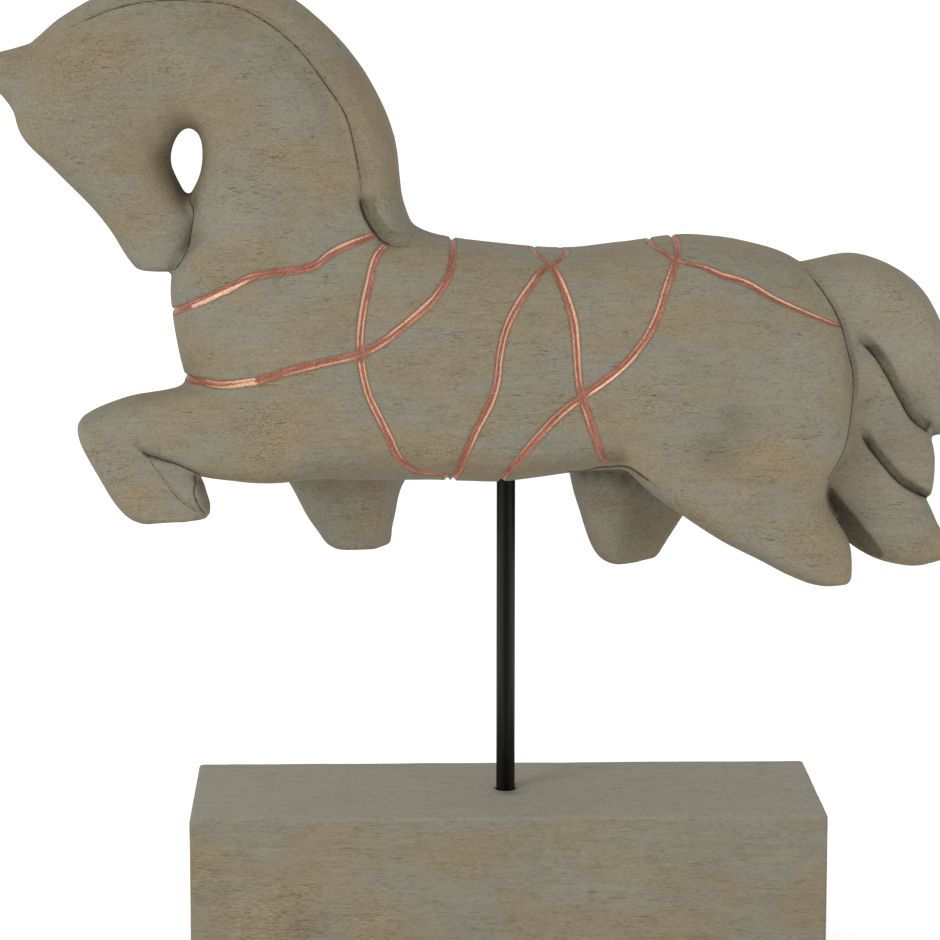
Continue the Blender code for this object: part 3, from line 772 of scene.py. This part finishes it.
def record_lines(horse, strings):
    """Keep on the skin each corner's gap to the strings and cuts, its wear, and its painted shade and light.
    """
    far, off, rims, run = measure_strings(horse, strings)
    seen = side_view(horse)
    y = corners_of(horse)[:, 1]
    cut_far = np.full(len(seen), FARTHEST_LINE_GAP)
    # Painted shade on what faces down.
    below = np.clip(-BELOW_FROM - normals_of(horse)[:, 2], 0, BELOW_SPAN) / BELOW_SPAN
    grime = np.maximum(patch_shares(horse, GRIME_AND_SHADE_ON_HORSE), SHADE_BELOW * below)
    pale = patch_shares(horse, PALE_ON_HORSE)
    # Each facet takes painted shade and painted light for the way it faces the light.
    for place, facing, facet_shade, facet_light in FACETS.values():
        share = facet_share(horse, place, facing)
        grime = np.maximum(grime, facet_shade * share)
        pale = np.maximum(pale, facet_light * share)
    # Along each cut a dark line is painted as painted shade with dirt, and painted shade on its left slope.
    for line, depth, left, right, side, shade_width, slope_shade, fade_in, fade_out in CUTS:
        off_cut, along = measure_from(line, seen, CUT_REACH)
        here = y * side >= 0
        kept = fade(along, fade_in, fade_out)
        cut_far[here] = np.minimum(cut_far, abs(off_cut) / shade_width + LINE_SHADE_FADE * (1 - kept))[here]
        slope = np.clip((left - off_cut) / SLOPE_SOFT + 0.5, 0, 1) * (off_cut > 0)
        grime = np.where(here, np.maximum(grime, slope_shade * kept * slope), grime)
    off = np.clip(off, -WIDEST_OFF, WIDEST_OFF)
    record(horse, string_far=np.minimum(far, FARTHEST_LINE_GAP), string_off=off, string_run=run, rim_left=rims[:, 0],
           rim_right=rims[:, 1], cut_far=cut_far, grime=grime, worn=patch_shares(horse, WORN_ON_HORSE),
           pale=pale)


def carve_horse():
    """Carve the horse in one piece: soft limbs first, then the mane and tail, then the grooves and cuts."""
    soft = join([draw_limb(*limb) for limb in SOFT_LIMBS])
    fuse(soft, FIRST_ROUNDS)
    soften(soft)
    press_hollows(soft)
    horse = join([soft] + [draw_limb(*limb) for limb in CRISP_LIMBS])
    horse.name = "carved_horse"
    fuse(horse, CRISP_ROUNDS)
    strings = lay_strings(horse)
    rough_out(horse, CARVER_MARKS)
    refine_near_lines(horse, strings)
    wind_strings(horse, strings)
    cut_between_forms(horse)
    horse.data.calc_loop_triangles()
    share = SKIN_TRIANGLES / len(horse.data.loop_triangles)
    if share < 1:
        modify(horse, "DECIMATE", ratio=share)
    drill_socket(horse, BELLY - DRILL_BELOW_BELLY * MM, ROD_HIGH.z + DRILL_SPARE * MM)
    record_lines(horse, strings)
    horse.data.shade_smooth()
    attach(horse, "root")
    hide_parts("horse")
    return horse


def saw_block():
    """Saw the block, ease its edges a little unevenly and drill the rod's socket."""
    bpy.ops.object.select_all(action="DESELECT")
    bpy.ops.mesh.primitive_cube_add(size=1, location=(BLOCK_LOW + BLOCK_HIGH) / 2)
    block = bpy.context.object
    block.name = "washed_block"
    block.scale = BLOCK_HIGH - BLOCK_LOW
    bpy.ops.object.transform_apply(location=True, rotation=False, scale=True)
    modify(block, "REMESH", mode="VOXEL", voxel_size=BLOCK_STEP * MM)
    modify(block, "SMOOTH", factor=0.5, iterations=1)
    rough_out(block, SAW_MARKS)
    places = np.clip(corners_of(block), np.array(BLOCK_LOW), np.array(BLOCK_HIGH))
    places[places[:, 2] < BASE_FLAT * MM, 2] = 0
    place_corners(block, places)
    drill_socket(block, ROD_LOW.z - DRILL_SPARE * MM, BLOCK_HIGH.z + DRILL_ABOVE_BLOCK * MM)
    # Painted shade on the block's sides and painted light on its top, by the way each faces.
    upward = np.clip(normals_of(block)[:, 2], 0, 1)
    grime = np.maximum(patch_shares(block, GRIME_ON_BLOCK), SHADE_ON_SIDES * (1 - upward))
    pale = np.maximum(patch_shares(block, PALE_ON_BLOCK), LIGHT_ON_TOP * upward)
    record(block, grime=grime, worn=patch_shares(block, WORN_ON_BLOCK), pale=pale)
    block.data.shade_smooth()
    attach(block, "root")
    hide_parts("base_block")
    return block


def drill_socket(piece, low, high):
    """Drill the rod's socket into a piece, from one height to another."""
    bpy.ops.object.select_all(action="DESELECT")
    bpy.ops.mesh.primitive_cylinder_add(vertices=64, radius=SOCKET_RADIUS, depth=high - low,
                                        location=(0, 0, (low + high) / 2))
    drill = bpy.context.object
    bpy.ops.object.transform_apply(location=True, rotation=False, scale=False)
    modify(piece, "BOOLEAN", operation="DIFFERENCE", solver="EXACT", object=drill)
    bpy.data.objects.remove(drill)


def turn_rod():
    """Turn the rod, with its ends eased a little."""
    bpy.ops.object.select_all(action="DESELECT")
    bpy.ops.mesh.primitive_cylinder_add(vertices=96, radius=ROD_RADIUS, depth=ROD_HIGH.z - ROD_LOW.z,
                                        location=(ROD_LOW + ROD_HIGH) / 2)
    rod = bpy.context.object
    rod.name = "black_rod"
    bpy.ops.object.transform_apply(location=True, rotation=False, scale=False)
    modify(rod, "BEVEL", width=ROD_EASE * MM, segments=2, limit_method="ANGLE")
    bpy.ops.object.select_all(action="DESELECT")
    rod.select_set(True)
    bpy.ops.object.shade_smooth_by_angle()
    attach(rod, "root")
    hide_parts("rod")
    return rod


# Finishes.
def start_material(name):
    """Return a new material, its nodes and its shader."""
    made = bpy.data.materials.new(name)
    made.use_nodes = True
    tree = made.node_tree
    return made, tree, tree.nodes["Principled BSDF"]


def marks_of(tree, *names):
    """Return the values kept on a piece's corners under these names."""
    return [add(tree, "Attribute", attribute_name=name, output="Fac") for name in names]


def share_where(tree, strength, *marks):
    """Return a strength times the share of each mark.

    A mark is a share itself, or a value with the limits between which it rises smoothly from 0 to 1.
    """
    for mark in marks:
        if isinstance(mark, tuple):
            value, low, high = mark
            mark = add(tree, "MapRange", {"Value": value, "From Min": low, "From Max": high},
                       interpolation_type="SMOOTHSTEP")
        strength = add(tree, "Math", {0: mark, 1: strength}, operation="MULTIPLY")
    return strength


def lay_over(tree, under, code, strength, *marks):
    """Return a colour with another laid over it, by a strength and the share of each mark."""
    share = share_where(tree, strength, *marks)
    return add(tree, "Mix", {0: share, 6: under, 7: linear(code)}, data_type="RGBA", output=2)


def grain_noise(tree, place, across, along, detail, seed):
    """Return noise whose marks are so many millimetres across and along the grain."""
    space = add(tree, "Mapping", {"Vector": place, "Location": (seed, seed, seed),
                                  "Scale": (across / along, 1, 1)})
    scale = 1 / (across * MM)
    return add(tree, "TexNoise", {"Vector": space, "Scale": scale, "Detail": detail}, output="Fac")


def wash_wood(tree, shader, pore_run):
    """Lime-washed hardwood: a matt grey-olive wash, worn to tan in patches, over fine dark pores along X.

    Its tooth runs for so many millimetres, and its pores for 3.5 times as long. Real pores are 0.1
    to 0.3 mm across, and these are 0.5 mm, as coarse as they need to be to show.
    """
    place = add(tree, "TexCoord", output="Object")
    worn, grime, pale = marks_of(tree, "worn", "grime", "pale")
    patches = grain_noise(tree, place, 22, 40, 2, 0.13)
    warmth = grain_noise(tree, place, 13, 24, 3, 0.37)
    clouds = grain_noise(tree, place, 5, 9, 3, 0.71)
    streaks = grain_noise(tree, place, 1.3, 16, 3, 0.53)
    mottle = grain_noise(tree, place, 1.7, 2.8, 2, 0.23)
    tooth = grain_noise(tree, place, 0.5, pore_run, 2, 0.17)
    pores = grain_noise(tree, place, 0.5, 3.5 * pore_run, 1, 0.91)
    pore_beds = grain_noise(tree, place, 8, 26, 2, 0.29)
    specks = grain_noise(tree, place, 0.55, 0.8 * pore_run, 1, 0.61)

    # The wash, cool and warm, and the bare wood where it has worn off.
    tan = add(tree, "Math", {0: share_where(tree, 0.3, (warmth, 0.52, 0.72)), 1: worn}, operation="ADD")
    tan = share_where(tree, 1.0, tan, (mottle, 0.2, 0.55))
    colour = lay_over(tree, linear("#858274"), "#897E68", 1.0, (patches, 0.38, 0.62))
    colour = lay_over(tree, colour, "#967D5B", 0.6, tan)
    colour = lay_over(tree, colour, "#6E6650", 0.35, (clouds, 0.52, 0.78))
    colour = lay_over(tree, colour, "#938D7D", 0.25, (clouds, 0.48, 0.25))
    # Paler where the wash lies thicker, with painted light on the facets and on the block's top.
    colour = lay_over(tree, colour, "#9A978A", 0.7, pale)

    # The grain: streaks, blotches and a fine tooth, which the wash fills more in some places.
    grip = add(tree, "MapRange", {"Value": clouds, "From Min": 0.3, "From Max": 0.7, "To Min": 0.45,
                                  "To Max": 1.1})
    colour = lay_over(tree, colour, "#6B634D", 0.22, (streaks, 0.52, 0.7))
    colour = lay_over(tree, colour, "#A39778", 0.2, (streaks, 0.46, 0.3))
    colour = lay_over(tree, colour, "#665E49", 0.22, (mottle, 0.52, 0.78))
    colour = lay_over(tree, colour, "#554D3A", 0.43, grip, (tooth, 0.5, 0.74))
    colour = lay_over(tree, colour, "#A79D85", 0.35, grip, (tooth, 0.48, 0.26))

    # Dark pores in beds, specks on the bare wood, and grime with painted shade over all.
    dark = share_where(tree, 1.0, (pores, 0.63, 0.7), (pore_beds, 0.48, 0.62))
    colour = lay_over(tree, colour, "#3A3226", 0.5, dark)
    colour = lay_over(tree, colour, "#4F442F", 0.4, (specks, 0.56, 0.68), (tan, 0.1, 0.6))
    colour = lay_over(tree, colour, "#B8A582", 0.28, (specks, 0.44, 0.32), (tan, 0.1, 0.6))
    uneven = add(tree, "MapRange", {"Value": mottle, "To Min": 0.5, "To Max": 1.3})
    colour = lay_over(tree, colour, "#4A4230", 1.0, grime, uneven)

    # The relief: the tooth and the blotches stand up, and the pores lie deep.
    relief = share_where(tree, 0.9, mottle)
    relief = add(tree, "Math", {0: tooth, 1: 0.5, 2: relief}, operation="MULTIPLY_ADD")
    relief = add(tree, "Math", {0: relief, 1: dark}, operation="SUBTRACT")
    shader.inputs["Specular IOR Level"].default_value = 0.2
    return colour, relief


def brush_copper(tree, edge, loose, specks):
    """Brushed copper paint: streaky along the string, with painted shade down its middle and painted
    highlights on its rims.
    """
    far, off, run, *rims = marks_of(tree, "string_far", "string_off", "string_run", "rim_left", "rim_right")
    along = add(tree, "Math", {0: run, 1: 0.12}, operation="MULTIPLY")
    across = add(tree, "Math", {0: off, 1: 1.8}, operation="MULTIPLY")
    brush = add(tree, "CombineXYZ", {"X": along, "Y": across, "Z": 0.0})
    strokes = add(tree, "TexNoise", {"Vector": brush, "Scale": 1.0, "Detail": 3}, output="Fac")
    copper = lay_over(tree, linear("#935B49"), "#AF7562", 1.0, (strokes, 0.35, 0.65))
    # Painted shade down the bottom of the groove.
    copper = lay_over(tree, copper, "#8A4F3D", 0.3, (far, 0.5, 0.1))
    # Pale specks toward the groove's walls: painted glints.
    copper = lay_over(tree, copper, "#CFA288", 0.5, (specks, 0.53, 0.66), (far, -0.3, 0.6))
    copper = lay_over(tree, copper, "#6A3A2A", 0.5, (specks, 0.42, 0.3))

    # A painted highlight lies half a half width off the middle, and reaches wider the higher its rim's value.
    shown = share_where(tree, 1.0, (edge, 0.86, 0.66), (specks, 0.7, 0.5))
    for rim, side in zip(rims, (0.5, -0.5)):
        aside = add(tree, "Math", {0: off, 1: side}, operation="SUBTRACT")
        aside = add(tree, "Math", {0: aside}, operation="ABSOLUTE")
        aside = add(tree, "Math", {0: loose, 1: -0.7, 2: aside}, operation="MULTIPLY_ADD")
        reach = add(tree, "Math", {0: rim, 1: 0.17}, operation="MULTIPLY")
        within = add(tree, "Math", {0: reach, 1: aside}, operation="SUBTRACT")
        copper = lay_over(tree, copper, "#E6BEA0", 1.0, (within, -0.1, 0.1), (rim, 0.05, 0.9), shown)
    return copper


def carved_wood():
    """The horse's washed wood, with painted shade and dirt in its cuts and copper paint in the string's
    grooves.
    """
    made, tree, shader = start_material("lime-washed hardwood with copper paint")
    wood, relief = wash_wood(tree, shader, 1.5)
    place = add(tree, "TexCoord", output="Object")
    far, cut_far = marks_of(tree, "string_far", "cut_far")
    specks = add(tree, "TexNoise", {"Vector": place, "Scale": 1 / (0.7 * MM), "Detail": 2}, output="Fac")
    chips = add(tree, "TexNoise", {"Vector": place, "Scale": 1 / (2.2 * MM), "Detail": 3}, output="Fac")
    loose = add(tree, "Math", {0: specks, 1: -0.5}, operation="ADD")
    ragged = add(tree, "Math", {0: chips, 1: -0.5}, operation="ADD")
    # A dark line painted along each cut: painted shade in the crease, with dirt.
    line = add(tree, "Math", {0: ragged, 1: 1.6, 2: cut_far}, operation="MULTIPLY_ADD")
    wood = lay_over(tree, wood, "#352C1C", 0.8, (line, 1.3, 0.4))
    edge = add(tree, "Math", {0: loose, 1: 0.8, 2: far}, operation="MULTIPLY_ADD")
    # Painted shade along the outer edges of the string's grooves.
    wood = lay_over(tree, wood, "#54452F", 0.3, (edge, 1.4, 1.0))
    painted = share_where(tree, 1.0, (edge, 0.89, 0.77))
    copper = brush_copper(tree, edge, loose, specks)
    colour = add(tree, "Mix", {0: painted, 6: wood, 7: copper}, data_type="RGBA", output=2)
    rough = add(tree, "MapRange", {"Value": painted, "To Min": 0.85, "To Max": 0.45})
    bump = add(tree, "Bump", {"Height": relief, "Strength": 0.5, "Distance": 0.25 * MM})
    tree.links.new(colour, shader.inputs["Base Color"])
    tree.links.new(share_where(tree, 0.35, painted), shader.inputs["Metallic"])
    tree.links.new(rough, shader.inputs["Roughness"])
    tree.links.new(bump, shader.inputs["Normal"])
    return made


def block_wood():
    """The block's washed wood, as the horse's but with longer pores on its sawn faces."""
    made, tree, shader = start_material("lime-washed sawn hardwood")
    wood, relief = wash_wood(tree, shader, 3.0)
    bump = add(tree, "Bump", {"Height": relief, "Strength": 0.4, "Distance": 0.2 * MM})
    tree.links.new(wood, shader.inputs["Base Color"])
    tree.links.new(bump, shader.inputs["Normal"])
    shader.inputs["Roughness"].default_value = 0.85
    return made


def black_steel():
    """Blackened steel bar: near black, drawn smooth, with a painted reflection: its sheen set in long bands
    round it.

    Its drawing marks are 0.5 mm wide, coarser than real ones, so that they show.
    """
    made, tree, shader = start_material("blackened steel")
    place = add(tree, "TexCoord", output="Object")
    drawn = add(tree, "Mapping", {"Vector": place, "Scale": (1, 1, 0.05)})
    scratches = add(tree, "TexNoise", {"Vector": drawn, "Scale": 1 / (0.5 * MM), "Detail": 2}, output="Fac")
    colour = lay_over(tree, linear("#080807"), "#10100E", 1.0, scratches)
    x, y = [add(tree, "SeparateXYZ", {0: place}, output=axis) for axis in "XY"]
    # Painted reflection: the sheen is lowest straight to the front and rises and falls in bands round the
    # bar.
    front = add(tree, "Math", {0: y, 1: -1.0}, operation="MULTIPLY")
    turn = add(tree, "Math", {0: x, 1: front}, operation="ARCTAN2")
    bands = add(tree, "Math", {0: turn, 1: 5.0}, operation="MULTIPLY")
    bands = add(tree, "Math", {0: bands}, operation="COSINE")
    sheen = add(tree, "MapRange", {"Value": bands, "From Min": 1.0, "From Max": -1.0, "To Min": 0.08,
                                   "To Max": 0.3})
    rough = add(tree, "MapRange", {"Value": scratches, "To Min": 0.28, "To Max": 0.42})
    tree.links.new(colour, shader.inputs["Base Color"])
    tree.links.new(sheen, shader.inputs["Specular IOR Level"])
    tree.links.new(rough, shader.inputs["Roughness"])
    return made


def paint(piece, material):
    piece.data.materials.clear()
    piece.data.materials.append(material)


# Studio.
def set_camera():
    camera = bpy.data.objects.new("camera", bpy.data.cameras.new("camera"))
    bpy.context.scene.collection.objects.link(camera)
    camera.data.lens = 141.7
    camera.data.sensor_width = 36.0
    camera.data.clip_end = 100
    camera.location = (-0.056, -1.5498, 0.4733)
    camera.rotation_euler = (math.radians(80.34), 0, math.radians(-1.505))
    bpy.context.scene.camera = camera


def add_softbox(name, place, aim, width, height, power):
    lamp = bpy.data.objects.new(name, bpy.data.lights.new(name, "AREA"))
    bpy.context.scene.collection.objects.link(lamp)
    lamp.data.shape = "RECTANGLE"
    lamp.data.size = width
    lamp.data.size_y = height
    lamp.data.energy = power
    lamp.location = place
    lamp.rotation_euler = (Vector(aim) - Vector(place)).to_track_quat("-Z", "Y").to_euler()


def set_studio():
    bpy.ops.object.select_all(action="DESELECT")
    bpy.ops.mesh.primitive_circle_add(vertices=96, radius=16, fill_type="NGON")
    floor = bpy.context.object
    floor.name = "studio_floor"
    made, *others, shader = start_material("matt white studio floor")
    shader.inputs["Base Color"].default_value = linear("#BEBEBE")
    shader.inputs["Roughness"].default_value = 0.9
    shader.inputs["Emission Color"].default_value = (1, 1, 1, 1)
    shader.inputs["Emission Strength"].default_value = 0.7
    paint(floor, made)
    world = bpy.data.worlds.new("studio")
    bpy.context.scene.world = world
    world.use_nodes = True
    world.node_tree.nodes["Background"].inputs["Color"].default_value = (1, 1, 1, 1)
    world.node_tree.nodes["Background"].inputs["Strength"].default_value = 0.74
    middle = (0, 0, 0.25)
    add_softbox("key", (-1.5, -1.5, 1.9), middle, 0.9, 0.9, 18)
    bpy.context.scene.view_settings.view_transform = "Standard"


horse = carve_horse()
block = saw_block()
rod = turn_rod()
paint(horse, carved_wood())
paint(block, block_wood())
paint(rod, black_steel())
set_camera()
set_studio()
